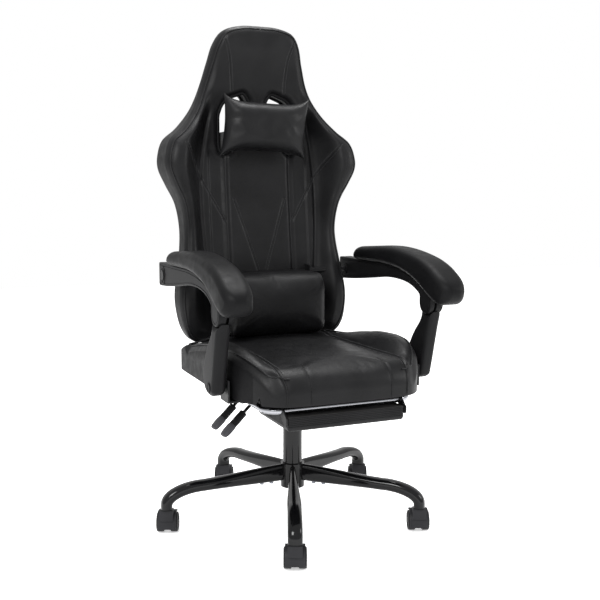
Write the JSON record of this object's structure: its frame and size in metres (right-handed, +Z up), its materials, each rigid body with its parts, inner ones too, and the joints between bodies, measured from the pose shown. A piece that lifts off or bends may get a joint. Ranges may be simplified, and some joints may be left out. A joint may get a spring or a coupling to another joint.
{
  "type": "gaming chair",
  "caption": "Padded racing-style office chair on a five-leg steel base with casters, linked armrests, a reclining back, head and lumbar pillows and a pull-out footrest.",
  "frame": {"origin": "on the floor, on the axis of the gas lift", "axes": "+Z up, the seat faces -Y, the sitter's right hand is at -X"},
  "size_m": [0.6851, 0.7258, 1.3],
  "materials": {
    "painted_steel": "gloss",
    "gloss_tube": "gloss",
    "bright_steel": "satin",
    "moulded_plastic": "satin",
    "caster_plastic": "satin",
    "padded_leatherette": "satin",
    "webbing": "matte",
    "plywood": "matte"
  },
  "bodies": {
    "base": {"base_hub": "painted_steel", "base_leg_1": "painted_steel", "base_leg_2": "painted_steel", "base_leg_3": "painted_steel", "base_leg_4": "painted_steel", "base_leg_5": "painted_steel", "leg_bolts": "bright_steel", "caster_sockets": "moulded_plastic", "caster_stems": "bright_steel", "lift_outer_tube": "painted_steel", "lift_guide_bush": "moulded_plastic", "lift_thrust_bearing": "bright_steel"},
    "lift": {"lift_piston_rod": "bright_steel"},
    "seat": {"lift_gas_cylinder": "bright_steel", "lift_release_pin": "bright_steel", "mechanism_housing": "painted_steel", "mechanism_bolts": "bright_steel", "lever_pivot_pins": "bright_steel", "seat_frame": "painted_steel", "seat_webbing": "webbing", "seat_cushion": "padded_leatherette", "footrest_guides": "moulded_plastic", "recline_ears": "painted_steel", "recline_shaft": "bright_steel", "armrest_brackets": "painted_steel"},
    "height_lever": {"height_lever_rod": "painted_steel", "height_lever_grip": "moulded_plastic"},
    "recline_lever": {"recline_lever_rod": "painted_steel", "recline_lever_grip": "moulded_plastic"},
    "backrest": {"back_frame": "painted_steel", "back_cushion": "padded_leatherette", "recline_brackets": "painted_steel", "harness_slot_trims": "moulded_plastic", "armrest_pivots": "bright_steel"},
    "head_pillow": {"head_pillow": "padded_leatherette", "head_pillow_strap": "webbing"},
    "lumbar_pillow": {"lumbar_pillow": "padded_leatherette"},
    "footrest_frame": {"footrest_tube": "gloss_tube", "footrest_hinges": "painted_steel"},
    "footrest_pad": {"footrest_board": "plywood", "footrest_cushion": "padded_leatherette"},
    "arm_right": {"arm_frame_right": "moulded_plastic", "arm_pad_right": "padded_leatherette", "arm_front_pin_right": "bright_steel"},
    "post_right": {"arm_post_right": "moulded_plastic"},
    "arm_left": {"arm_frame_left": "moulded_plastic", "arm_pad_left": "padded_leatherette", "arm_front_pin_left": "bright_steel"},
    "post_left": {"arm_post_left": "moulded_plastic"},
    "caster_1": {"caster_hood_1": "moulded_plastic"},
    "caster_wheels_1": {"caster_wheels_1": "caster_plastic"},
    "caster_2": {"caster_hood_2": "moulded_plastic"},
    "caster_wheels_2": {"caster_wheels_2": "caster_plastic"},
    "caster_3": {"caster_hood_3": "moulded_plastic"},
    "caster_wheels_3": {"caster_wheels_3": "caster_plastic"},
    "caster_4": {"caster_hood_4": "moulded_plastic"},
    "caster_wheels_4": {"caster_wheels_4": "caster_plastic"},
    "caster_5": {"caster_hood_5": "moulded_plastic"},
    "caster_wheels_5": {"caster_wheels_5": "caster_plastic"}
  },
  "joints": [
    {"name": "swivel", "type": "hinge", "parent": "base", "child": "lift", "pos_m": [0, 0, 0.1], "axis": [0, 0, 1], "continuous": true},
    {"name": "seat_height", "type": "slide", "parent": "lift", "child": "seat", "axis": [0, 0, 1], "range_m": [0, 0.08]},
    {"name": "height_lever", "type": "hinge", "parent": "seat", "child": "height_lever", "pos_m": [-0.058, -0.039, 0.361], "axis": [0, 1, 0], "range_deg": [0, 5], "stiffness_Nm_per_rad": 1.5},
    {"name": "recline_lever", "type": "hinge", "parent": "seat", "child": "recline_lever", "pos_m": [-0.058, -0.112, 0.361], "axis": [0, 1, 0], "range_deg": [0, 5], "stiffness_Nm_per_rad": 1.5},
    {"name": "recline", "type": "hinge", "parent": "seat", "child": "backrest", "pos_m": [0, 0.2, 0.42], "axis": [-1, 0, 0], "range_deg": [0, 35]},
    {"name": "head_pillow_slide", "type": "slide", "parent": "backrest", "child": "head_pillow", "axis": [0, 0, 1], "range_m": [0, 0.04]},
    {"name": "lumbar_pillow_slide", "type": "slide", "parent": "backrest", "child": "lumbar_pillow", "axis": [0, 0.0995, 0.995], "range_m": [0, 0.08]},
    {"name": "footrest_slide", "type": "slide", "parent": "seat", "child": "footrest_frame", "axis": [0, -1, 0], "range_m": [0, 0.22]},
    {"name": "footrest_flip", "type": "hinge", "parent": "footrest_frame", "child": "footrest_pad", "pos_m": [0, -0.315, 0.351], "axis": [-1, 0, 0], "range_deg": [0, 180]},
    {"name": "armrest_right", "type": "hinge", "parent": "backrest", "child": "arm_right", "pos_m": [0, 0.199, 0.638], "axis": [1, 0, 0], "range_deg": [0, 31.7]},
    {"name": "arm_post_right", "type": "hinge", "parent": "seat", "child": "post_right", "pos_m": [0, -0.188, 0.415], "axis": [-1, 0, 0], "range_deg": [0, 41.1]},
    {"name": "armrest_left", "type": "hinge", "parent": "backrest", "child": "arm_left", "pos_m": [0, 0.199, 0.638], "axis": [1, 0, 0], "range_deg": [0, 31.7]},
    {"name": "arm_post_left", "type": "hinge", "parent": "seat", "child": "post_left", "pos_m": [0, -0.188, 0.415], "axis": [-1, 0, 0], "range_deg": [0, 41.1]},
    {"name": "caster_swivel_1", "type": "hinge", "parent": "base", "child": "caster_1", "pos_m": [-0.12549, -0.31061, 0.05], "axis": [0, 0, 1], "continuous": true},
    {"name": "caster_roll_1", "type": "hinge", "parent": "caster_1", "child": "caster_wheels_1", "pos_m": [-0.11768, -0.2922, 0.025], "axis": [0.9205, -0.3907, 0], "continuous": true},
    {"name": "caster_swivel_2", "type": "hinge", "parent": "base", "child": "caster_2", "pos_m": [0.25662, -0.21533, 0.05], "axis": [0, 0, 1], "continuous": true},
    {"name": "caster_roll_2", "type": "hinge", "parent": "caster_2", "child": "caster_wheels_2", "pos_m": [0.26444, -0.19692, 0.025], "axis": [0.9205, -0.3907, 0], "continuous": true},
    {"name": "caster_swivel_3", "type": "hinge", "parent": "base", "child": "caster_3", "pos_m": [0.2841, 0.17752, 0.05], "axis": [0, 0, 1], "continuous": true},
    {"name": "caster_roll_3", "type": "hinge", "parent": "caster_3", "child": "caster_wheels_3", "pos_m": [0.29191, 0.19593, 0.025], "axis": [0.9205, -0.3907, 0], "continuous": true},
    {"name": "caster_swivel_4", "type": "hinge", "parent": "base", "child": "caster_4", "pos_m": [-0.08104, 0.32505, 0.05], "axis": [0, 0, 1], "continuous": true},
    {"name": "caster_roll_4", "type": "hinge", "parent": "caster_4", "child": "caster_wheels_4", "pos_m": [-0.07323, 0.34346, 0.025], "axis": [0.9205, -0.3907, 0], "continuous": true},
    {"name": "caster_swivel_5", "type": "hinge", "parent": "base", "child": "caster_5", "pos_m": [-0.33418, 0.02337, 0.05], "axis": [0, 0, 1], "continuous": true},
    {"name": "caster_roll_5", "type": "hinge", "parent": "caster_5", "child": "caster_wheels_5", "pos_m": [-0.32637, 0.04178, 0.025], "axis": [0.9205, -0.3907, 0], "continuous": true}
  ],
  "couplings": [
    {"joint": "armrest_right", "follows": "recline", "ratio": 0.8913},
    {"joint": "arm_post_right", "follows": "recline", "ratio": 1.1608},
    {"joint": "armrest_left", "follows": "recline", "ratio": 0.8913},
    {"joint": "arm_post_left", "follows": "recline", "ratio": 1.1608}
  ]
}
